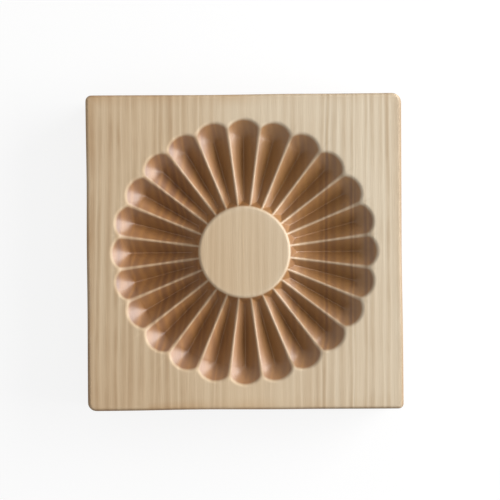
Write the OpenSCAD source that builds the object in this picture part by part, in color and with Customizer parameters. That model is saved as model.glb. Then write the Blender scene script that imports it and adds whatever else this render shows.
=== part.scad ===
// Square wooden cookie stamp, cut from one board, with a carved rosette of tapering V-cut petals.
// The block lies on its back: Z = 0 is the plain back, and the carved face looks up.
// The grain of the wood runs along Y.

/* [Block] */
// Width of the block, across the grain
block_w = 101.6; // [92:0.1:150]
// Length of the block, along the grain
block_l = 101.6; // [92:0.1:150]
// Thickness of the block
block_t = 19.05; // [12:0.05:40]
// Radius of the four upright corners
corner_r = 2.4; // [1.5:0.1:10]
// Radius to which the edges of the face and the back are eased
edge_r = 1; // [0.3:0.1:1.4]

/* [Rosette] */
// Number of petals
petals = 24; // [20:2:28]
// Radius of the circle that the petal tips reach
rosette_r = 43; // [38:0.1:45]
// Radius of the plain disc in the middle, at the face
disc_r = 14.7; // [11:0.1:20]
// Radius of the round outer end of a petal, at the face
tip_r = 6.2; // [5.2:0.1:8]
// Half width that a petal would have at the edge of the disc, if it were alone in the face
start_r = 5; // [2.4:0.1:5.5]
// Lean of the carved walls from upright, in degrees
wall_angle = 40; // [35:1:55]
// Lean of the rim of the disc from upright, in degrees
rim_angle = 30; // [20:1:45]
// Width of the sanded crest between two petals
crest_w = 0.6; // [0.3:0.1:1]

/* [Hidden] */

$fn = 64;
wood = [0.80, 0.69, 0.53];

// Direction of the first petal, which points along the grain
first_angle = 90;

// How far the shapes that carve the block reach above its face
overshoot = 1;

// How much wider the round end of a petal is, on each side, than the groove that runs into it
end_swell = 0.3;

// Distance from the middle of the block to the centre of a petal's round end
tip_x = rosette_r - tip_r;
// Depth of the carving at that centre, where it is deepest
tip_depth = tip_r / tan(wall_angle);

// Half width of a groove at the face, square to its side, where it runs into the round end
groove_r = tip_r - end_swell;
// Depths of the bottom of a groove where it ends, and under the edge of the disc
groove_depth = groove_r / tan(wall_angle);
start_depth = start_r / tan(wall_angle);

// Half of the angle between the two sides of a groove, and how much wider a groove gets along its bottom
widening = (groove_r - start_r) / (tip_x - disc_r);
side_angle = asin(widening);
// Fall of the bottom of a groove towards the tip, and the depth of that line in the middle of the block
fall_angle = atan((groove_depth - start_depth) / (tip_x - disc_r));
middle_depth = start_depth - disc_r * tan(fall_angle);
// Depth at which the bottom of a groove meets the rim of the disc
foot_depth = start_depth / (1 - tan(rim_angle) * tan(fall_angle));
// Half angle of the V, square to its bottom
v_angle = acos(cos(side_angle) * cos(wall_angle));
// How far the line where a side runs into the round end leans inwards, per unit of height
side_lean = tan(wall_angle) * sin(side_angle);

// Angle from the line of a petal to the crest beside it
crest_angle = 180 / petals;
// How far a groove's side falls short of the crest, per unit of radius
crest_lag = sin(side_angle - crest_angle);
// Depth at which a crest meets the rim of the disc
crest_depth = (crest_w / 2 + start_r + (crest_lag - widening) * disc_r)
    / (tan(wall_angle) - crest_lag * tan(rim_angle));
// Radii where a crest leaves the grooves for the round ends, and where it is clear of the face
crest_turn = tip_x * cos(side_angle) / cos(side_angle - crest_angle);
crest_stop = tip_x * cos(crest_angle)
    + sqrt(pow(tip_r + crest_w / 2 + overshoot * tan(wall_angle), 2) - pow(tip_x * sin(crest_angle), 2));
// Number of straight steps in which a crest rises between the round ends
crest_steps = 4;

// Distance from a point of the crest, at radius r, to the centre of the nearest round end
function to_tip(r) = sqrt(r * r + tip_x * tip_x - 2 * r * tip_x * cos(crest_angle));
// Height of a crest from the face, between two round ends, at radius r
function tip_crest(r) = -(crest_w / 2 + tip_r - to_tip(r)) / tan(wall_angle);
// Distance from the middle of the block to the rim of the disc, at the given depth
function rim_x(depth) = disc_r + depth * tan(rim_angle);

// Upright section of the blank, span wide and as tall as the block, with eased corners
module eased_section(span) {
    half = span / 2 - edge_r;
    translate([-span / 2, edge_r])
        square([span, block_t - 2 * edge_r]);
    translate([-half, 0])
        square([2 * half, block_t]);
    for (x = [-half, half], y = [edge_r, block_t - edge_r])
        translate([x, y])
            circle(edge_r);
}

// One corner of the blank, round about its own upright line
module corner_post() {
    rotate_extrude()
        intersection() {
            eased_section(2 * corner_r);
            square([corner_r, block_t]);
        }
}

// The block before carving
module blank() {
    post_x = block_w / 2 - corner_r;
    post_y = block_l / 2 - corner_r;
    rotate([90, 0, 0])
        linear_extrude(2 * post_y, center = true)
            eased_section(block_w);
    rotate([90, 0, 90])
        linear_extrude(2 * post_x, center = true)
            eased_section(block_l);
    for (x = [-post_x, post_x], y = [-post_y, post_y])
        translate([x, y, 0])
            corner_post();
}

// Side view of the straight stretch of a petal, from the rim of the disc to the round end, face at zero
module groove_side_view() {
    end_top = tip_x - (groove_depth + overshoot) * side_lean;
    polygon([
        [rim_x(foot_depth), -foot_depth],
        [tip_x, -groove_depth],
        [end_top, overshoot],
        [rim_x(-overshoot), overshoot]
    ]);
}

// Straight stretch of a petal along +X: a sloping V-shaped groove that widens as it gets deeper
module petal_groove() {
    v_height = 2 * (groove_depth + overshoot);
    v_reach = v_height * tan(v_angle);
    translate([0, 0, block_t])
        intersection() {
            rotate([90, 0, 0])
                linear_extrude(2 * v_reach, center = true)
                    groove_side_view();
            translate([0, 0, -middle_depth])
                rotate([0, 90 + fall_angle, 0])
                    linear_extrude(2 * rosette_r)
                        polygon([[0, 0], [-v_height, v_reach], [-v_height, -v_reach]]);
        }
}

// Round outer end of a petal along +X: a cone standing on its point
module petal_tip() {
    open_r = tip_r + overshoot * tan(wall_angle);
    translate([tip_x, 0, block_t - tip_depth])
        cylinder(h = tip_depth + overshoot, r1 = 0, r2 = open_r);
}

// One whole petal along +X
module petal() {
    petal_groove();
    petal_tip();
}

// Every other petal from the given one on
module every_other_petal(first) {
    for (i = [first : 2 : petals - 1])
        rotate([0, 0, first_angle + i * 360 / petals])
            petal();
}

// Slot along +X that is cut away above a crest, which leaves the crest a narrow flat top
module crest_slot() {
    rise = (crest_stop - crest_turn) / crest_steps;
    translate([0, 0, block_t])
        rotate([90, 0, 0])
            linear_extrude(2 * crest_w, center = true)
                polygon([
                    [rim_x(-overshoot), overshoot],
                    [rim_x(crest_depth), -crest_depth],
                    for (i = [0 : crest_steps])
                        [crest_turn + i * rise, tip_crest(crest_turn + i * rise)]
                ]);
}

// The slots above all crests, which lie halfway between the petals
module crest_slots() {
    for (i = [0 : petals - 1])
        rotate([0, 0, first_angle + (i + 0.5) * 360 / petals])
            crest_slot();
}

// The block with its petals, which leave a plain disc in the middle and meet only at flat-topped crests
module carved_block() {
    color(wood)
        difference() {
            difference() {
                difference() {
                    blank();
                    crest_slots();
                }
                every_other_petal(0);
            }
            every_other_petal(1);
        }
}

carved_block();
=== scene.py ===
"""Square wooden cookie stamp with a carved rosette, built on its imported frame."""

import math

import bmesh
import bpy
from bpy.props import (
    FloatProperty,
    FloatVectorProperty,
    IntProperty,
    PointerProperty,
)
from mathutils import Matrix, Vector


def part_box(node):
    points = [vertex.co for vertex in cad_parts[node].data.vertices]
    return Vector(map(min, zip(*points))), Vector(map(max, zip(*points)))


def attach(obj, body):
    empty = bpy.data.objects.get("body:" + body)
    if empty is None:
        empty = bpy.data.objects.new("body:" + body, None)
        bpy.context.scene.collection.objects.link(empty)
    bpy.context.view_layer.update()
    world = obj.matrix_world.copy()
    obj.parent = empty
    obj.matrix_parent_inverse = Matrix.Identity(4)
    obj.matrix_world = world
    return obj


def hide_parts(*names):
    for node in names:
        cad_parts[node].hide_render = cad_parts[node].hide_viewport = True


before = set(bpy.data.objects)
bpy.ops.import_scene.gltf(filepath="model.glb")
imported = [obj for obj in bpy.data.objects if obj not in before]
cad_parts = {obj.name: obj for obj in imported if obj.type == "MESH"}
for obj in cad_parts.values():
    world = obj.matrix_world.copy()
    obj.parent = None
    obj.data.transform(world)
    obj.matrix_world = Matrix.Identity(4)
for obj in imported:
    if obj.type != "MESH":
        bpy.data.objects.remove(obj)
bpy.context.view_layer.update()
BLOCK_LOW, BLOCK_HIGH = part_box("carved_block")

bl_info = {
    "name": "Wooden cookie stamp",
    "version": (1, 0, 0),
    "blender": (4, 5, 0),
    "location": "View3D > Sidebar > Cookie Stamp",
    "description": "Builds a square wooden cookie stamp with a carved rosette, and a stage for it",
    "category": "Add Mesh",
}

MM = 0.001


# Sizes and finishes

class StampBlockSizes(bpy.types.PropertyGroup):
    """Sizes of the plain block, whose width, length and thickness come from the frame."""

    edge_ease: FloatProperty(
        name="Edge ease",
        description="Radius to which the edges of the face and the back are sanded",
        default=1.1 * MM, min=0.2 * MM, max=3 * MM, precision=4, unit="LENGTH",
    )
    corners: FloatVectorProperty(
        name="Corners",
        description="Radii of the four upright corners, counter-clockwise from the far right one",
        default=(3.1 * MM, 1.9 * MM, 2.8 * MM, 1.7 * MM), size=4,
        min=1.2 * MM, max=10 * MM, precision=4, unit="LENGTH",
    )
    sanding_wave: FloatProperty(
        name="Sanding wave",
        description="How far hand sanding has drawn the sides in at most",
        default=0.25 * MM, min=0, max=1 * MM, precision=4, unit="LENGTH",
    )


class RosetteSizes(bpy.types.PropertyGroup):
    """Sizes of the carved rosette."""

    petals: IntProperty(
        name="Petals", description="Number of petals", default=24, min=12, max=36,
    )
    reach: FloatProperty(
        name="Reach", description="Radius of the circle that the petal tips reach",
        default=43.0 * MM, min=30 * MM, max=46 * MM, precision=4, unit="LENGTH",
    )
    disc: FloatProperty(
        name="Disc", description="Radius of the plain disc in the middle",
        default=14.7 * MM, min=8 * MM, max=22 * MM, precision=4, unit="LENGTH",
    )
    tip: FloatProperty(
        name="Tip", description="Radius of the round outer end of a petal",
        default=6.2 * MM, min=4 * MM, max=9 * MM, precision=4, unit="LENGTH",
    )
    start: FloatProperty(
        name="Start",
        description="Half width of a petal at the edge of the disc, if its sides ran on to there",
        default=4.95 * MM, min=1 * MM, max=6 * MM, precision=5, unit="LENGTH",
    )
    tip_depth: FloatProperty(
        name="Tip depth", description="Depth of the bottom of a petal at the centre of its round end",
        default=5.62 * MM, min=1 * MM, max=10 * MM, precision=5, unit="LENGTH",
    )
    start_depth: FloatProperty(
        name="Start depth", description="Depth of the bottom of a petal at the edge of the disc",
        default=2.71 * MM, min=0.2 * MM, max=10 * MM, precision=5, unit="LENGTH",
    )
    belly: FloatProperty(
        name="Belly",
        description="How far the bottom of a petal sags below the straight line between those depths",
        default=2.72 * MM, min=0, max=6 * MM, precision=5, unit="LENGTH",
    )
    crest_rise: FloatProperty(
        name="Crest rise",
        description="How far out from the disc the petals close in, so that the crests rise to the face",
        default=5 * MM, min=1 * MM, max=15 * MM, precision=4, unit="LENGTH",
    )
    crest_end: FloatProperty(
        name="Crest end",
        description="How far inside the edge of the disc two petals would only just touch",
        default=1 * MM, min=0, max=5 * MM, precision=4, unit="LENGTH",
    )
    rim_lean: FloatProperty(
        name="Rim lean", description="Lean of the rim of the disc from upright",
        default=math.radians(29), min=math.radians(5), max=math.radians(60), subtype="ANGLE", unit="ROTATION",
    )
    rim_root: FloatProperty(
        name="Rim root", description="Softness of the line where the rim of the disc meets a petal",
        default=0.4 * MM, min=0.05 * MM, max=2 * MM, precision=5, unit="LENGTH",
    )
    root: FloatProperty(
        name="Root", description="Softness of the bottom of a petal, where its two walls meet",
        default=0.14 * MM, min=0.05 * MM, max=1 * MM, precision=5, unit="LENGTH",
    )
    crest: FloatProperty(
        name="Crest", description="Reach of the sanding on the crest between two petals",
        default=1.2 * MM, min=0.1 * MM, max=3 * MM, precision=5, unit="LENGTH",
    )
    rim: FloatProperty(
        name="Rim", description="Reach of the sanding where the petal tips meet the face",
        default=0.5 * MM, min=0.05 * MM, max=2 * MM, precision=5, unit="LENGTH",
    )
    disc_rim: FloatProperty(
        name="Disc rim", description="Reach of the sanding round the disc",
        default=1.3 * MM, min=0.05 * MM, max=3 * MM, precision=5, unit="LENGTH",
    )


class WoodFinish(bpy.types.PropertyGroup):
    """Colours and grain of the wood."""

    heartwood: FloatVectorProperty(
        name="Heartwood", description="Colour of the warm wood on the left",
        default=(0.625, 0.489, 0.328), size=3, min=0, max=1, subtype="COLOR",
    )
    # Painted sheen: this paler, cooler colour on the right stands in for the sheen of the lamps on that side.
    wood_and_painted_sheen: FloatVectorProperty(
        name="Wood and painted sheen", description="Colour of the pale wood on the right",
        default=(0.648, 0.561, 0.427), size=3, min=0, max=1, subtype="COLOR",
    )
    bands: FloatVectorProperty(
        name="Bands", description="Share of the wood's colour that the growth bands leave",
        default=(0.72, 0.65, 0.58), size=3, min=0, max=1, subtype="COLOR",
    )
    # Partly the cut wood's own darker colour and partly painted shade: it darkens and browns the carved
    # hollows beyond what the lamps give.
    carved: FloatVectorProperty(
        name="Carved tone and painted shade", description="Share of the wood's colour that is left on the carved walls",
        default=(0.436, 0.236, 0.060), size=3, min=0, max=1, subtype="COLOR",
    )
    # This colour also makes the edge line, which is partly painted shade on the eased edges.
    stain_and_shade: FloatVectorProperty(
        name="Edge stain", description="Share of the wood's colour that handling has left on the edges",
        default=(0.80, 0.66, 0.50), size=3, min=0, max=1, subtype="COLOR",
    )
    end_grain: FloatVectorProperty(
        name="End grain", description="Share of the wood's colour that is left on the end grain",
        default=(0.70, 0.62, 0.54), size=3, min=0, max=1, subtype="COLOR",
    )
    ring_step: FloatProperty(
        name="Ring step", description="Distance between two growth rings in the log",
        default=2.6 * MM, min=0.5 * MM, max=8 * MM, precision=4, unit="LENGTH",
    )
    heart: FloatVectorProperty(
        name="Heart", description="Place of the log's heart line, across the block and above its back",
        default=(-130.0 * MM, -8.0 * MM), size=2, precision=4, unit="LENGTH",
    )


class StageSettings(bpy.types.PropertyGroup):
    """Light, floor and camera."""

    key_power: FloatProperty(
        name="Key power", description="Power of the lamp on the right",
        default=5.4, min=0, max=50, unit="POWER",
    )
    key_turn: FloatProperty(
        name="Key turn",
        description="Direction of the lamps on the right, from the block's right towards its far side",
        default=math.radians(13.6), subtype="ANGLE", unit="ROTATION",
    )
    key_rise: FloatProperty(
        name="Key rise", description="Height of the lamp on the right above the horizon",
        default=math.radians(24.8), subtype="ANGLE", unit="ROTATION",
    )
    key_width: FloatProperty(
        name="Key width", description="Width of the lamps on the right",
        default=0.624, min=0.02, max=2, unit="LENGTH",
    )
    key_height: FloatProperty(
        name="Key height", description="Height of the lamp on the right",
        default=0.374, min=0.02, max=2, unit="LENGTH",
    )
    low_power: FloatProperty(
        name="Low power", description="Power of the low lamp on the right",
        default=2.1, min=0, max=50, unit="POWER",
    )
    low_rise: FloatProperty(
        name="Low rise", description="Height of the low lamp above the horizon",
        default=math.radians(11), subtype="ANGLE", unit="ROTATION",
    )
    low_height: FloatProperty(
        name="Low height", description="Height of the low lamp",
        default=0.12, min=0.02, max=2, unit="LENGTH",
    )
    lamp_distance: FloatProperty(
        name="Lamp distance", description="Distance of the lamps on the right from the block",
        default=0.6, min=0.2, max=5, unit="LENGTH",
    )
    fill_power: FloatProperty(
        name="Fill power", description="Power of the soft lamp on the far side",
        default=0.116, min=0, max=50, unit="POWER",
    )
    fill_size: FloatProperty(
        name="Fill size", description="Width and height of the soft lamp",
        default=0.5, min=0.02, max=2, unit="LENGTH",
    )
    fill_place: FloatVectorProperty(
        name="Fill place", description="Place of the soft lamp",
        default=(0.0, 0.5, 0.4), size=3, subtype="TRANSLATION", unit="LENGTH",
    )
    surround: FloatProperty(
        name="Surround", description="Strength of the light from all around",
        default=0.44, min=0, max=2,
    )
    floor: FloatVectorProperty(
        name="Floor", description="Colour of the floor",
        default=(0.9, 0.9, 0.9), size=3, min=0, max=1, subtype="COLOR",
    )
    floor_white: FloatProperty(
        name="Floor white",
        description="Share of plain white in the floor as it is seen, the rest of which takes shadow",
        default=0.85, min=0, max=1, subtype="FACTOR",
    )
    camera_height: FloatProperty(
        name="Camera height", description="Height of the camera above the carved face",
        default=0.4459, min=0.1, max=5, precision=5, unit="LENGTH",
    )
    camera_roll: FloatProperty(
        name="Camera roll", description="Turn of the camera about its own line of sight",
        default=math.radians(-0.5), subtype="ANGLE", unit="ROTATION",
    )
    camera_lens: FloatProperty(
        name="Camera lens", description="Focal length of the camera, in millimetres",
        default=100, min=10, max=500, unit="CAMERA",
    )


# The carved form

# Shares of the crest's sanding between which the tone of a crest fades out
CREST_CORE, CREST_SKIRT = 0.25, 1.15
# Distances from the disc between which the sanding of its rim gives way to that of the petal tips
DISC_SANDING, TIP_SANDING = 1 * MM, 6 * MM
# Depths between which the face gives way to the tone of the carved walls, which is partly the cut wood's own
# darker colour and partly painted shade
FACE_TONE, WALL_TONE = 0.02 * MM, 0.75 * MM
# Least depth at which the rim of the disc is taken to end
LEAST_RIM = 0.2 * MM
# Share of the disc's radius at which the bottom lines of the petals start, under the disc
LINE_START = 0.97


def soft_min(a, b, reach):
    """The smaller of two values, rounded off where they are within reach of each other."""
    share = max(reach - abs(a - b), 0.0) / reach
    return min(a, b) - share * share * reach / 4


def soft_max(a, b, reach):
    """The larger of two values, rounded off where they are within reach of each other."""
    share = max(reach - abs(a - b), 0.0) / reach
    return max(a, b) + share * share * reach / 4


def smooth_step(low, high, value):
    """0 below low, 1 above high and an eased rise between them."""
    share = min(max((value - low) / (high - low), 0.0), 1.0)
    return share * share * (3 - 2 * share)


class Rosette:
    """The carved face as a depth at every radius r and angle q from the line of the nearest petal."""

    def __init__(self, sizes):
        self.sizes = sizes
        self.tip_centre = sizes.reach - sizes.tip
        self.length = self.tip_centre - sizes.disc
        self.widening = (sizes.tip - sizes.start) / self.length
        self.side = math.asin(self.widening)
        self.step = 2 * math.pi / sizes.petals
        self.closed_width = sizes.disc * math.sin(self.step / 2)
        self.rim_slope = math.tan(sizes.rim_lean)

    def off_line(self, angle):
        """Angle from the line of the nearest petal."""
        return abs(angle - round(angle / self.step) * self.step)

    def half_width(self, along):
        """Half width of a petal at the face, at a distance along its line."""
        sizes = self.sizes
        open_width = sizes.start + self.widening * (along - sizes.disc)
        spread = smooth_step(sizes.disc - sizes.crest_end, sizes.disc + sizes.crest_rise, along)
        return self.closed_width + (open_width - self.closed_width) * spread

    def bottom(self, along):
        """Depth of the bottom of a petal, at a distance along its line."""
        sizes = self.sizes
        share = (along - sizes.disc) / self.length
        straight = sizes.start_depth + (sizes.tip_depth - sizes.start_depth) * share
        return straight + 4 * sizes.belly * share * (1 - share)

    def cut(self, r, q):
        """Depth of one petal, below zero outside it."""
        x, y = r * math.cos(q), abs(r * math.sin(q))
        along = min(max(x + y * math.tan(self.side), LINE_START * self.sizes.disc), self.tip_centre)
        away = math.sqrt((x - along) ** 2 + y * y + self.sizes.root ** 2)
        return self.bottom(along) * (1 - away / self.half_width(along))

    def depth(self, r, q):
        """Depth of the finished carving, and how near the point is to a crest, from 0 to 1."""
        sizes = self.sizes
        own = self.cut(r, q)
        next_one = self.cut(r, self.step - q)
        crest = 1 - smooth_step(CREST_CORE * sizes.crest, CREST_SKIRT * sizes.crest, abs(own - next_one))
        carved = soft_max(own, next_one, sizes.crest)
        carved = soft_min(carved, (r - sizes.disc) / self.rim_slope, sizes.rim_root)
        outward = smooth_step(sizes.disc + DISC_SANDING, sizes.disc + TIP_SANDING, r)
        sanding = sizes.disc_rim + (sizes.rim - sizes.disc_rim) * outward
        return soft_max(carved, 0.0, sanding), crest

    def disc_edge(self, q):
        """Radius of the disc, which is the same all round."""
        return self.sizes.disc

    def rim_foot(self, q):
        """Radius where the rim of the disc runs into a petal's wall."""
        r = self.sizes.disc
        for _ in range(20):
            r = self.sizes.disc + self.rim_slope * max(self.cut(r, q), self.cut(r, self.step - q), LEAST_RIM)
        return r

    def turn(self, q):
        """Radius where a petal's straight wall runs into its round end."""
        return self.tip_centre * math.cos(self.side) / math.cos(self.side - q)

    def outline(self, q):
        """Radius of the scalloped outline."""
        across = self.tip_centre * math.sin(q)
        return self.tip_centre * math.cos(q) + math.sqrt(max(self.sizes.tip ** 2 - across ** 2, 0.0))


def beside(line, gap):
    """Line of the rosette, moved outwards by a gap."""
    return lambda q: line(q) + gap


def part_way(inner, outer, share):
    """Line at a share of the way from one line of the rosette to another."""
    return lambda q: inner(q) + (outer(q) - inner(q)) * share


def block_outline(angle, half_w, half_l, corner):
    """Distance from the middle of the block to its rounded outline in one direction."""
    c, s = max(abs(math.cos(angle)), 1e-9), max(abs(math.sin(angle)), 1e-9)
    reach = min(half_w / c, half_l / s)
    x, y = half_w - corner, half_l - corner
    if reach * c > x and reach * s > y:
        along = x * c + y * s
        reach = along + math.sqrt(max(along * along - (x * x + y * y - corner * corner), 0.0))
    return reach


# The block's mesh

# Points round the mesh for each petal, and how far they are gathered towards its line and its crests
POINTS_PER_PETAL = 36
GATHERING = 0.72
# Distance from the edge of the disc to the flat face in its middle
DISC_MARGIN = 1.8 * MM
# Gaps from the disc's edge inwards, and from the rosette's outline outwards, at which rings lie
DISC_GAPS = (1.4 * MM, 1.15 * MM, 0.9 * MM, 0.65 * MM, 0.4 * MM, 0.2 * MM, 0.06 * MM)
OUTLINE_GAPS = (0.08 * MM, 0.2 * MM, 0.4 * MM, 0.65 * MM)
# Shares of the way across each stretch of the surface at which rings lie
RIM_STEPS = (0.03, 0.08, 0.16, 0.28, 0.42, 0.58, 0.74, 0.87, 0.95, 1.0)
WALL_STEPS = (0.012, 0.03, 0.07, 0.15, 0.28, 0.42, 0.56, 0.70, 0.82, 0.91, 0.96, 0.985, 1.0)
TIP_STEPS = (0.03, 0.07, 0.13, 0.21, 0.30, 0.40, 0.50, 0.60, 0.70, 0.79, 0.87, 0.93, 0.97, 1.0)
BORDER_STEPS = (0.02, 0.3, 0.65, 1.0)
SIDE_STEPS = (0.7, 0.5, 0.3)
EASE_STEPS = 6
# Gap from the rosette's outline to the plain border
BORDER_GAP = 0.8 * MM
# Inset of the flat faces from the sides, as a share of the edges' ease
FLAT_INSET = 1.3


class StampForm:
    """The surface of the finished block, in rings round its axis.

    A ring is a function that takes an angle, and gives the radius and the height of its point there,
    how far the point is carved and how near it is to a crest, both from 0 to 1.
    """

    def __init__(self, block, sizes):
        self.block = block
        self.rosette = Rosette(sizes)
        self.half_w = (BLOCK_HIGH.x - BLOCK_LOW.x) / 2
        self.half_l = (BLOCK_HIGH.y - BLOCK_LOW.y) / 2
        self.top = BLOCK_HIGH.z
        self.back = BLOCK_LOW.z

    def side_reach(self, angle, inset):
        """Distance from the axis to the hand-sanded sides, drawn in by inset."""
        corner = self.block.corners[int(math.floor(angle / (math.pi / 2))) % 4]
        wave = 0.5 + 0.28 * math.sin(3 * angle + 0.7) + 0.22 * math.sin(7 * angle + 2.1)
        drawn_in = inset + self.block.sanding_wave * wave * (1 - abs(math.sin(2 * angle)) ** 6)
        return block_outline(angle, self.half_w - drawn_in, self.half_l - drawn_in, corner - inset)

    def on_face(self, line):
        """Ring on the carved face, along a line of the rosette."""
        def place(angle):
            q = self.rosette.off_line(angle)
            r = line(q)
            depth, crest = self.rosette.depth(r, q)
            return r, self.top - depth, smooth_step(FACE_TONE, WALL_TONE, depth), crest
        return place

    def on_border(self, share):
        """Ring on the plain border, at a share of the way from the rosette to the sides."""
        def place(angle):
            inner = self.rosette.outline(self.rosette.off_line(angle)) + BORDER_GAP
            outer = self.side_reach(angle, FLAT_INSET * self.block.edge_ease)
            return inner + (outer - inner) * share, self.top, 0.0, 0.0
        return place

    def on_side(self, inset, height):
        """Ring on the sides or their eased edges."""
        return lambda angle: (self.side_reach(angle, inset), height, 0.0, 0.0)

    def rings(self):
        """All rings, from the disc over the petals and the border, down the sides and onto the back."""
        rosette = self.rosette
        ease, top, back = self.block.edge_ease, self.top, self.back
        bends = [math.pi / 2 * i / EASE_STEPS for i in range(EASE_STEPS + 1)]

        lines = [beside(rosette.disc_edge, -gap) for gap in DISC_GAPS]
        lines += [part_way(rosette.disc_edge, rosette.rim_foot, share) for share in RIM_STEPS]
        lines += [part_way(rosette.rim_foot, rosette.turn, share) for share in WALL_STEPS]
        lines += [part_way(rosette.turn, rosette.outline, share) for share in TIP_STEPS]
        lines += [beside(rosette.outline, gap) for gap in OUTLINE_GAPS]

        made = [self.on_face(line) for line in lines]
        made += [self.on_border(share) for share in BORDER_STEPS]
        made += [self.on_side(ease * (1 - math.sin(b)), top - ease * (1 - math.cos(b))) for b in bends]
        made += [self.on_side(0.0, back + (top - back) * share) for share in SIDE_STEPS]
        made += [self.on_side(ease * (1 - math.cos(b)), back + ease * (1 - math.sin(b))) for b in bends]
        made += [self.on_side(FLAT_INSET * ease, back)]
        return made


def start_disc(bm, form, petals):
    """Flat middle of the disc, with its points gathered towards the petals' lines and crests."""
    step = form.rosette.step
    radius = form.rosette.sizes.disc - DISC_MARGIN
    bmesh.ops.create_circle(bm, cap_ends=True, segments=POINTS_PER_PETAL * petals, radius=radius)
    for vert in bm.verts:
        angle = math.atan2(vert.co.y, vert.co.x)
        line = round(angle / step) * step
        share = min(2 * abs(angle - line) / step, 1.0)
        gathered = share - GATHERING * math.sin(2 * math.pi * share) / (2 * math.pi)
        angle = line + math.copysign(gathered * step / 2, angle - line)
        vert.co = (radius * math.cos(angle), radius * math.sin(angle), form.top)


def draw_out(bm, loop, ring, carved_layer, crest_layer):
    """Draws the open edge of the mesh out to the next ring, and gives the new open edge."""
    drawn = bmesh.ops.extrude_edge_only(bm, edges=loop)["geom"]
    for vert in drawn:
        if isinstance(vert, bmesh.types.BMVert):
            angle = math.atan2(vert.co.y, vert.co.x)
            r, height, carved, crest = ring(angle)
            vert.co = (r * math.cos(angle), r * math.sin(angle), height)
            vert[carved_layer] = carved
            vert[crest_layer] = crest * carved
    return [part for part in drawn if isinstance(part, bmesh.types.BMEdge) and part.is_boundary]


def carve_stamp_block(block, sizes):
    """Mesh of the carved block, with the attributes that its material reads."""
    form = StampForm(block, sizes)
    bm = bmesh.new()
    carved_layer = bm.verts.layers.float.new("carved")
    crest_layer = bm.verts.layers.float.new("crest")
    end_layer = bm.verts.layers.float.new("end_grain")

    start_disc(bm, form, sizes.petals)
    loop = [edge for edge in bm.edges if edge.is_boundary]
    for ring in form.rings():
        loop = draw_out(bm, loop, ring, carved_layer, crest_layer)
    bmesh.ops.contextual_create(bm, geom=loop)

    bmesh.ops.recalc_face_normals(bm, faces=bm.faces)
    bm.normal_update()
    for vert in bm.verts:
        vert[end_layer] = abs(vert.normal.y)
    for face in bm.faces:
        face.smooth = True
    mesh = bpy.data.meshes.new("stamp_block")
    bm.to_mesh(mesh)
    bm.free()
    return mesh


# Nodes

def add_node(tree, kind, label, inputs=None, **options):
    """A node with its options set and its inputs linked or filled in."""
    made = tree.nodes.new(kind)
    made.label = label
    for option, value in options.items():
        setattr(made, option, value)
    for key, value in (inputs or {}).items():
        if isinstance(value, bpy.types.NodeSocket):
            tree.links.new(value, made.inputs[key])
        else:
            made.inputs[key].default_value = value
    return made


def add_math(tree, label, operation, first, second=0.0, third=0.0):
    """Result of a Math node."""
    made = add_node(tree, "ShaderNodeMath", label, {0: first, 1: second, 2: third}, operation=operation)
    return made.outputs[0]


def add_scaled(tree, label, place, scale):
    """Place multiplied by a factor along each axis."""
    made = add_node(tree, "ShaderNodeVectorMath", label, {0: place, 1: scale}, operation="MULTIPLY")
    return made.outputs["Vector"]


def add_dot(tree, label, place, way):
    """How far a place lies along a direction."""
    made = add_node(tree, "ShaderNodeVectorMath", label, {0: place, 1: way}, operation="DOT_PRODUCT")
    return made.outputs["Value"]


def add_length(tree, label, place):
    """Distance of a place from the origin."""
    made = add_node(tree, "ShaderNodeVectorMath", label, {0: place}, operation="LENGTH")
    return made.outputs["Value"]


def add_range(tree, label, value, low, high, to_low=0.0, to_high=1.0):
    """Value moved from one range to another, held at its ends."""
    made = add_node(tree, "ShaderNodeMapRange", label,
                    {0: value, 1: low, 2: high, 3: to_low, 4: to_high})
    return made.outputs[0]


def add_mix(tree, label, share, first, second, blend="MIX"):
    """Colour mixed from two others."""
    made = add_node(tree, "ShaderNodeMix", label, {0: share, 6: first, 7: second},
                    data_type="RGBA", blend_type=blend)
    return made.outputs[2]


def add_grain(tree, label, place, scale, detail, roughness):
    """Noise stretched by scale, which is in cycles per millimetre along each axis."""
    stretched = add_scaled(tree, label + " stretch", place, scale)
    made = add_node(tree, "ShaderNodeTexNoise", label,
                    {"Vector": stretched, "Scale": 1.0, "Detail": detail, "Roughness": roughness})
    return made.outputs[0]


def add_attribute(tree, name):
    """Value that the mesh carries under a name."""
    return add_node(tree, "ShaderNodeAttribute", name, attribute_name=name).outputs["Fac"]


def colour(value, share=1.0):
    """Property colour as a socket value."""
    return (value[0] * share, value[1] * share, value[2] * share, 1.0)


# Materials

# Cycles per millimetre across, along and up the block, for each kind of grain
TONE_DRIFT = (0.03, 0.006, 0.03)
RING_DRIFT = (0.045, 0.007, 0.045)
RING_RIPPLE = (0.16, 0.035, 0.16)
BAND_BREAKS = (0.12, 0.06, 0.12)
WEAR = (0.07, 0.035, 0.07)
STREAKS = (0.36, 0.006, 0.36)
FIBRES = (1.5, 0.040, 1.5)
FINE_FIBRES = (4.5, 0.16, 4.5)

# How far the log leans off the block's length, per millimetre of it
LOG_LEAN = -0.010
# Levels of a growth ring's tone through its year, as time and darkness
YEAR_LEVELS = ((0.12, 0.05), (0.34, 0.75), (0.58, 1.0), (0.82, 0.55))
# Middle of the plainest stretch of the board, in millimetres to the right
PLAIN_MIDDLE = 3.0
# Distances from there between which the bands grow to their full strength, in millimetres
PLAIN_STRETCH = (9.0, 24.0)

# Distances from the edges of the block between which each tone of handling grows, in millimetres; the edge
# line among them is partly painted shade
WORN_ZONE = (5.0, 0.4)
EDGE_LINE = (1.0, 0.25)
BARK_SIDE = (1.2, 0.4)
# Radii between which the tone of the rubbed disc grows, in millimetres
RUBBED_DISC = (16.0, 12.5)


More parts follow.
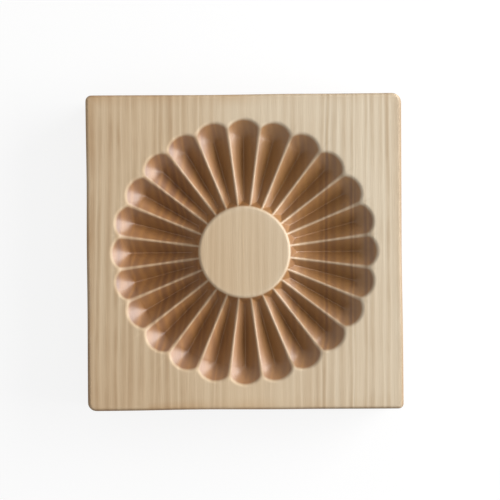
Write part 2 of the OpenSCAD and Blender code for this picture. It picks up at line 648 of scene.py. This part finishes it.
def ring_distance(tree, place, finish):
    """Distance from the heart of the log in millimetres, with the wander of the rings."""
    across, along, up = add_node(tree, "ShaderNodeSeparateXYZ", "Across, along and up", {0: place}).outputs
    lean = add_math(tree, "Lean of the log", "MULTIPLY_ADD", along, LOG_LEAN, -finish.heart[0] / MM)
    side_way = add_math(tree, "Across from the heart", "ADD", across, lean)
    up_way = add_math(tree, "Up from the heart", "SUBTRACT", up, finish.heart[1] / MM)
    out = add_node(tree, "ShaderNodeCombineXYZ", "Out from the heart", {0: side_way, 2: up_way})
    distance = add_length(tree, "Distance from the heart", out.outputs[0])
    drift = add_grain(tree, "Drift of the rings", place, RING_DRIFT, 3.0, 0.5)
    ripple = add_grain(tree, "Ripple of the rings", place, RING_RIPPLE, 2.0, 0.5)
    distance = add_math(tree, "Drifted distance", "MULTIPLY_ADD", drift, 5.0, distance)
    return add_math(tree, "Rippled distance", "MULTIPLY_ADD", ripple, 1.0, distance)


def growth_bands(tree, place, finish):
    """How dark the growth rings are at a place, from 0 in the spring wood to 1 in the autumn wood."""
    distance = ring_distance(tree, place, finish)
    years = add_math(tree, "Years", "DIVIDE", distance, finish.ring_step / MM)
    uneven = add_node(tree, "ShaderNodeTexNoise", "Uneven years",
                      {"W": years, "Scale": 0.55, "Detail": 1.0}, noise_dimensions="1D").outputs[0]
    years = add_math(tree, "Uneven growth", "MULTIPLY_ADD", uneven, 1.2, years)

    season = add_math(tree, "Time of year", "FRACT", years)
    ramp = add_node(tree, "ShaderNodeValToRGB", "Growth of a year", {0: season})
    ramp.color_ramp.interpolation = "B_SPLINE"
    stops = ramp.color_ramp.elements
    stops[0].position, stops[0].color = 0.0, (0.0, 0.0, 0.0, 1)
    stops[1].position, stops[1].color = 1.0, (0.0, 0.0, 0.0, 1)
    for position, level in YEAR_LEVELS:
        stops.new(position).color = (level, level, level, 1)

    year = add_math(tree, "Year", "FLOOR", years)
    strong = add_node(tree, "ShaderNodeTexWhiteNoise", "Good and bad years", {"W": year},
                      noise_dimensions="1D").outputs["Value"]
    strong = add_range(tree, "Strength of the year", strong, 0.0, 1.0, 0.55, 1.0)
    broken = add_grain(tree, "Breaks in the bands", place, BAND_BREAKS, 2.0, 0.5)
    broken = add_range(tree, "Strength along the band", broken, 0.34, 0.62, 0.55, 1.15)
    across = add_dot(tree, "Across the board", place, (1, 0, 0))
    middle = add_math(tree, "Across from the middle", "SUBTRACT", across, PLAIN_MIDDLE)
    middle = add_math(tree, "Off the middle of the board", "ABSOLUTE", middle)
    flat = add_range(tree, "Rings on edge", middle, *PLAIN_STRETCH, 0.35, 1.0)
    bands = add_math(tree, "Bands by year", "MULTIPLY", ramp.outputs[0], strong)
    bands = add_math(tree, "Broken bands", "MULTIPLY", bands, broken)
    return add_math(tree, "Bands on edge", "MULTIPLY", bands, flat)


def handled_share(tree, place, far, across, half):
    """Share of the tone that handling leaves near the edges, on one corner and on the disc."""
    near = add_range(tree, "Near an edge", far, half - WORN_ZONE[0], half - WORN_ZONE[1])
    near = add_math(tree, "Close to an edge", "POWER", near, 1.6)
    worn = add_grain(tree, "Wear", place, WEAR, 3.0, 0.55)
    worn = add_range(tree, "Share of wear", worn, 0.36, 0.64, 0.15, 1.0)
    left = add_range(tree, "More on the left", across, half, -half, 0.25, 1.0)
    near = add_math(tree, "Worn near an edge", "MULTIPLY", near, worn)
    near = add_math(tree, "Worn near the left edge", "MULTIPLY", near, left)
    corner = add_dot(tree, "Towards the near left", place, (-0.02, -0.02, 0))
    corner = add_range(tree, "Handled corner", corner, 1.1, 1.9, 0.0, 0.32)
    plan = add_scaled(tree, "Place in plan", place, (1, 1, 0))
    out = add_length(tree, "Distance from the axis", plan)
    disc = add_range(tree, "Rubbed disc", out, *RUBBED_DISC, 0.0, 0.28)
    handled = add_math(tree, "Handled", "ADD", corner, disc)
    return add_math(tree, "Worn or handled", "MAXIMUM", near, handled)


def edge_line_share(tree, place, far, across, half):
    """Share of the dark tone right on the edges, which is partly handling and partly painted shade on the
    eased edges, stronger on the near side, and on the side that lay towards the bark.
    """
    line = add_range(tree, "On an edge", far, half - EDGE_LINE[0], half - EDGE_LINE[1])
    far_side = add_dot(tree, "Towards the far side", place, (0.002, 0.011, 0))
    less = add_range(tree, "Less on the far side", far_side, -0.4, 0.5, 0.85, 0.45)
    line = add_math(tree, "Edge line on the near side", "MULTIPLY", line, less)
    bark = add_range(tree, "Side towards the bark", across, half - BARK_SIDE[0], half - BARK_SIDE[1])
    return add_math(tree, "Edge line and bark side", "MAXIMUM", line, bark)


def stain_edges(tree, wood, place, finish):
    """Wood that hands have darkened along its edges, and a dark edge line that is partly painted shade."""
    across, along, _ = add_node(tree, "ShaderNodeSeparateXYZ", "Across and along", {0: place}).outputs
    half = (BLOCK_HIGH.x - BLOCK_LOW.x) / 2 / MM
    far = add_math(tree, "Distance from the middle", "MAXIMUM",
                   add_math(tree, "Off the middle, across", "ABSOLUTE", across),
                   add_math(tree, "Off the middle, along", "ABSOLUTE", along))
    handled = handled_share(tree, place, far, across, half)
    line = edge_line_share(tree, place, far, across, half)
    wood = add_mix(tree, "Worn edges", handled, wood, colour(finish.stain_and_shade), "MULTIPLY")
    # Edge line: partly the handled edges' own dark tone, partly painted shade on the eased edges, stronger on
    # the near side.
    return add_mix(tree, "Edge line", line, wood, colour(finish.stain_and_shade, 0.6), "MULTIPLY")


def spring_wood(tree, place, finish):
    """Colour between the growth bands, from warm heartwood on the left to a paler, cooler tone on the right,
    which is painted sheen from the lamps on that side.
    """
    drift = add_grain(tree, "Drift of the tone", place, TONE_DRIFT, 3.0, 0.5)
    # Painted sheen: the wood turns paler and cooler towards the lamps on the right.
    across = add_dot(tree, "Across the heartwood", place, (0.0125, 0.0050, 0))
    tone = add_math(tree, "Heartwood to sapwood", "ADD", across, drift)
    tone = add_range(tree, "Share of sapwood", tone, 0.20, 1.05)
    return add_mix(tree, "Spring wood", tone, colour(finish.heartwood), colour(finish.wood_and_painted_sheen))


def fibre_tones(tree, place):
    """Levels of the fibres and of the fine fibres, from 0 to 1."""
    fibre = add_grain(tree, "Fibres", place, FIBRES, 5.0, 0.62)
    hair = add_grain(tree, "Fine fibres", place, FINE_FIBRES, 3.0, 0.6)
    return (add_range(tree, "Fibre tone", fibre, 0.30, 0.70),
            add_range(tree, "Fine fibre tone", hair, 0.35, 0.68))


def grained_wood(tree, place, finish, walls, bands, fibre, hair):
    """Wood with growth bands, which show more where the cut crosses them, and with streaks and fibres."""
    early = spring_wood(tree, place, finish)
    late = add_mix(tree, "Autumn wood", 1.0, early, colour(finish.bands), "MULTIPLY")
    wood = add_mix(tree, "Growth bands", bands, early, late)
    cut = add_math(tree, "Bands across the cut", "MULTIPLY", bands, walls)
    wood = add_mix(tree, "Bands on the walls", cut, wood, colour(finish.bands), "MULTIPLY")
    streak = add_grain(tree, "Streaks", place, STREAKS, 4.0, 0.6)
    streak = add_range(tree, "Streak tone", streak, 0.30, 0.70, 0.0, 0.45)
    wood = add_mix(tree, "Streak colour", streak, wood, colour(finish.bands, 1.12), "MULTIPLY")
    for label, level in (("Fibre", fibre), ("Fine fibre", hair)):
        share = add_math(tree, label + " share", "MULTIPLY", level, 0.10)
        wood = add_mix(tree, label + " colour", share, wood, colour(finish.bands), "MULTIPLY")
    return wood


def oil_wood(tree, shader, walls, bands, fibre, hair):
    """Gloss of the oil, which the carved walls hold more of, and the relief of the grain."""
    gloss = add_range(tree, "Gloss of the cut", walls, 0.0, 1.0, 0.4, 0.7)
    tree.links.new(gloss, shader.inputs["Specular IOR Level"])
    polish = add_range(tree, "Polish of the cut", walls, 0.0, 1.0, 0.5, 0.64)
    polish = add_math(tree, "Uneven polish", "MULTIPLY_ADD", fibre, 0.06, polish)
    tree.links.new(polish, shader.inputs["Roughness"])
    coat = add_math(tree, "Oil on the cut", "MULTIPLY", walls, 0.85)
    tree.links.new(coat, shader.inputs["Coat Weight"])
    shader.inputs["Coat Roughness"].default_value = 0.36

    relief = add_math(tree, "Relief of the fibres", "MULTIPLY_ADD", hair, 0.5, fibre)
    relief = add_math(tree, "Relief with growth bands", "MULTIPLY_ADD", bands, 0.6, relief)
    bump = add_node(tree, "ShaderNodeBump", "Grain relief",
                    {"Strength": 0.35, "Distance": 0.06 * MM, "Height": relief})
    tree.links.new(bump.outputs[0], shader.inputs["Normal"])


def oiled_wood(finish):
    """Pale hardwood with straight grain along Y, darker on its end grain and where it is carved, which is
    partly the cut wood's own tone and partly painted shade.
    """
    material = bpy.data.materials.new("oiled_wood")
    material.use_nodes = True
    tree = material.node_tree
    shader = tree.nodes["Principled BSDF"]

    coords = add_node(tree, "ShaderNodeTexCoord", "Place on the block").outputs["Object"]
    place = add_scaled(tree, "Millimetres", coords, (1 / MM, 1 / MM, 1 / MM))
    # Share of the carved walls, less on the crests; it carries the walls' darker tone, which is partly
    # painted shade, and the oil's gloss.
    walls = add_math(tree, "Walls without crests", "MULTIPLY_ADD",
                     add_attribute(tree, "crest"), -0.5, add_attribute(tree, "carved"))
    walls = add_math(tree, "Share of the walls for tone, painted shade and gloss", "MAXIMUM", walls, 0.0)
    bands = growth_bands(tree, place, finish)
    fibre, hair = fibre_tones(tree, place)

    wood = grained_wood(tree, place, finish, walls, bands, fibre, hair)
    wood = stain_edges(tree, wood, place, finish)
    # Painted shade in part: the carved walls are darkened and browned beyond the cut wood's own darker tone.
    wood = add_mix(tree, "Carved tone and painted shade", walls, wood, colour(finish.carved), "MULTIPLY")
    ends = add_range(tree, "End grain tone", add_attribute(tree, "end_grain"), 0.72, 1.0, 0.0, 0.75)
    wood = add_mix(tree, "End grain", ends, wood, colour(finish.end_grain), "MULTIPLY")
    tree.links.new(wood, shader.inputs["Base Color"])
    oil_wood(tree, shader, walls, bands, fibre, hair)
    return material


def seen_directly(tree, share):
    """Share of the view that looks straight at a surface, or sees it mirrored or through glass."""
    rays = add_node(tree, "ShaderNodeLightPath", "Rays").outputs
    seen = add_math(tree, "Seen or mirrored", "MAXIMUM", rays["Is Camera Ray"], rays["Is Glossy Ray"])
    seen = add_math(tree, "Seen, mirrored or through", "MAXIMUM", seen, rays["Is Transmission Ray"])
    return add_math(tree, "Share seen", "MULTIPLY", seen, share)


def white_floor(settings):
    """Matt pale floor that looks white and keeps a faint shadow."""
    material = bpy.data.materials.new("white_floor")
    material.use_nodes = True
    tree = material.node_tree
    tree.nodes.clear()
    matt = add_node(tree, "ShaderNodeBsdfDiffuse", "Matt floor", {"Color": colour(settings.floor)})
    glow = add_node(tree, "ShaderNodeEmission", "White as seen", {"Strength": 1.0})
    both = add_node(tree, "ShaderNodeMixShader", "Floor",
                    {0: seen_directly(tree, settings.floor_white), 1: matt.outputs[0], 2: glow.outputs[0]})
    add_node(tree, "ShaderNodeOutputMaterial", "Finished floor", {"Surface": both.outputs[0]})
    return material


# The stage

# Half the width of the floor, and its gap to the back of the block
FLOOR_REACH = 2.0
FLOOR_GAP = 0.05 * MM
# Share of the block's thickness at which the lamps are aimed
LAMP_AIM = 0.8
# Width of the camera's sensor in millimetres, width of the photo and the frame's shift, both in pixels
SENSOR_WIDTH = 36
PHOTO_WIDTH = 500
PHOTO_SHIFT = (5.5, 2.0)
# Least distance that the camera sees, in metres
NEAREST_SEEN = 0.01


def place_piece(name, mesh, material):
    """Object at the origin with its finish."""
    piece = bpy.data.objects.new(name, mesh)
    bpy.context.scene.collection.objects.link(piece)
    mesh.materials.append(material)
    return piece


def lay_floor(settings):
    """Plain floor under the block."""
    bm = bmesh.new()
    bmesh.ops.create_grid(bm, x_segments=1, y_segments=1, size=FLOOR_REACH)
    bmesh.ops.translate(bm, vec=(0, 0, BLOCK_LOW.z - FLOOR_GAP), verts=bm.verts)
    mesh = bpy.data.meshes.new("floor")
    bm.to_mesh(mesh)
    bm.free()
    place_piece("floor", mesh, white_floor(settings))


def add_lamp(name, place, width, height, power, target):
    """Flat lamp that looks at a point."""
    lamp = bpy.data.lights.new(name, "AREA")
    lamp.shape = "RECTANGLE"
    lamp.size = width
    lamp.size_y = height
    lamp.energy = power
    holder = bpy.data.objects.new(name, lamp)
    bpy.context.scene.collection.objects.link(holder)
    holder.location = place
    holder.rotation_euler = (target - place).to_track_quat("-Z", "Y").to_euler()
    holder.visible_camera = False


def way_to(turn, rise):
    """Direction at an angle from the block's right towards its far side, and at one above the horizon."""
    flat = math.cos(rise)
    return Vector((flat * math.cos(turn), flat * math.sin(turn), math.sin(rise)))


def hang_lamps(settings):
    """A broad and a low lamp on the right, and a soft one on the far side."""
    target = Vector((0, 0, LAMP_AIM * BLOCK_HIGH.z))
    key_place = target + settings.lamp_distance * way_to(settings.key_turn, settings.key_rise)
    low_place = target + settings.lamp_distance * way_to(settings.key_turn, settings.low_rise)
    fill_place = Vector(settings.fill_place)
    add_lamp("key_lamp", key_place, settings.key_width, settings.key_height, settings.key_power, target)
    add_lamp("low_lamp", low_place, settings.key_width, settings.low_height, settings.low_power, target)
    add_lamp("fill_lamp", fill_place, settings.fill_size, settings.fill_size, settings.fill_power, target)


def white_surround(settings):
    """World that gives soft light from all around and looks white."""
    world = bpy.data.worlds.new("studio")
    world.use_nodes = True
    tree = world.node_tree
    tree.nodes.clear()
    soft = add_node(tree, "ShaderNodeBackground", "Light from all around",
                    {"Color": (1, 1, 1, 1), "Strength": settings.surround})
    white = add_node(tree, "ShaderNodeBackground", "White backdrop",
                     {"Color": (1, 1, 1, 1), "Strength": 1.0})
    both = add_node(tree, "ShaderNodeMixShader", "Surround",
                    {0: seen_directly(tree, 1.0), 1: soft.outputs[0], 2: white.outputs[0]})
    add_node(tree, "ShaderNodeOutputWorld", "Finished surround", {"Surface": both.outputs[0]})
    return world


def photo_camera(settings):
    """Camera that looks straight down at the carved face."""
    lens = bpy.data.cameras.new("photo_camera")
    lens.lens = settings.camera_lens
    lens.sensor_width = SENSOR_WIDTH
    lens.shift_x = PHOTO_SHIFT[0] / PHOTO_WIDTH
    lens.shift_y = PHOTO_SHIFT[1] / PHOTO_WIDTH
    lens.clip_start = NEAREST_SEEN
    camera = bpy.data.objects.new("photo_camera", lens)
    bpy.context.scene.collection.objects.link(camera)
    camera.location = (0, 0, BLOCK_HIGH.z + settings.camera_height)
    camera.rotation_euler = (0, 0, settings.camera_roll)
    return camera


# Operators and panel

class STAMP_OT_carve_block(bpy.types.Operator):
    """Carves the block and gives it its wood"""

    bl_idname = "stamp.carve_block"
    bl_label = "Carve the block"
    bl_options = {"REGISTER", "UNDO"}

    def execute(self, context):
        scene = context.scene
        mesh = carve_stamp_block(scene.stamp_block, scene.stamp_rosette)
        if not mesh.polygons:
            raise RuntimeError("the carved block has no faces")
        piece = place_piece("stamp_block", mesh, oiled_wood(scene.stamp_wood))
        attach(piece, "root")
        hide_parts("carved_block")
        return {"FINISHED"}


class STAMP_OT_set_stage(bpy.types.Operator):
    """Sets the floor, the light and the camera"""

    bl_idname = "stamp.set_stage"
    bl_label = "Set the stage"
    bl_options = {"REGISTER", "UNDO"}

    def execute(self, context):
        scene = context.scene
        settings = scene.stamp_stage
        lay_floor(settings)
        hang_lamps(settings)
        scene.world = white_surround(settings)
        scene.camera = photo_camera(settings)
        scene.view_settings.view_transform = "Standard"
        return {"FINISHED"}


class STAMP_PT_panel(bpy.types.Panel):
    """Sizes, finish and stage of the cookie stamp"""

    bl_idname = "STAMP_PT_panel"
    bl_label = "Cookie Stamp"
    bl_space_type = "VIEW_3D"
    bl_region_type = "UI"
    bl_category = "Cookie Stamp"

    def draw(self, context):
        scene = context.scene
        for title, group in (
            ("Block", scene.stamp_block),
            ("Rosette", scene.stamp_rosette),
            ("Wood", scene.stamp_wood),
            ("Stage", scene.stamp_stage),
        ):
            box = self.layout.box()
            box.label(text=title)
            for name in group.__annotations__:
                box.prop(group, name)
        self.layout.operator(STAMP_OT_carve_block.bl_idname)
        self.layout.operator(STAMP_OT_set_stage.bl_idname)


CLASSES = (
    StampBlockSizes,
    RosetteSizes,
    WoodFinish,
    StageSettings,
    STAMP_OT_carve_block,
    STAMP_OT_set_stage,
    STAMP_PT_panel,
)


def register():
    for cls in CLASSES:
        bpy.utils.register_class(cls)
    bpy.types.Scene.stamp_block = PointerProperty(type=StampBlockSizes)
    bpy.types.Scene.stamp_rosette = PointerProperty(type=RosetteSizes)
    bpy.types.Scene.stamp_wood = PointerProperty(type=WoodFinish)
    bpy.types.Scene.stamp_stage = PointerProperty(type=StageSettings)


def unregister():
    del bpy.types.Scene.stamp_stage
    del bpy.types.Scene.stamp_wood
    del bpy.types.Scene.stamp_rosette
    del bpy.types.Scene.stamp_block
    for cls in reversed(CLASSES):
        bpy.utils.unregister_class(cls)


def main():
    """Builds the stamp and its stage."""
    register()
    bpy.ops.stamp.carve_block()
    bpy.ops.stamp.set_stage()
    bpy.context.view_layer.update()


if __name__ == "__main__":
    main()
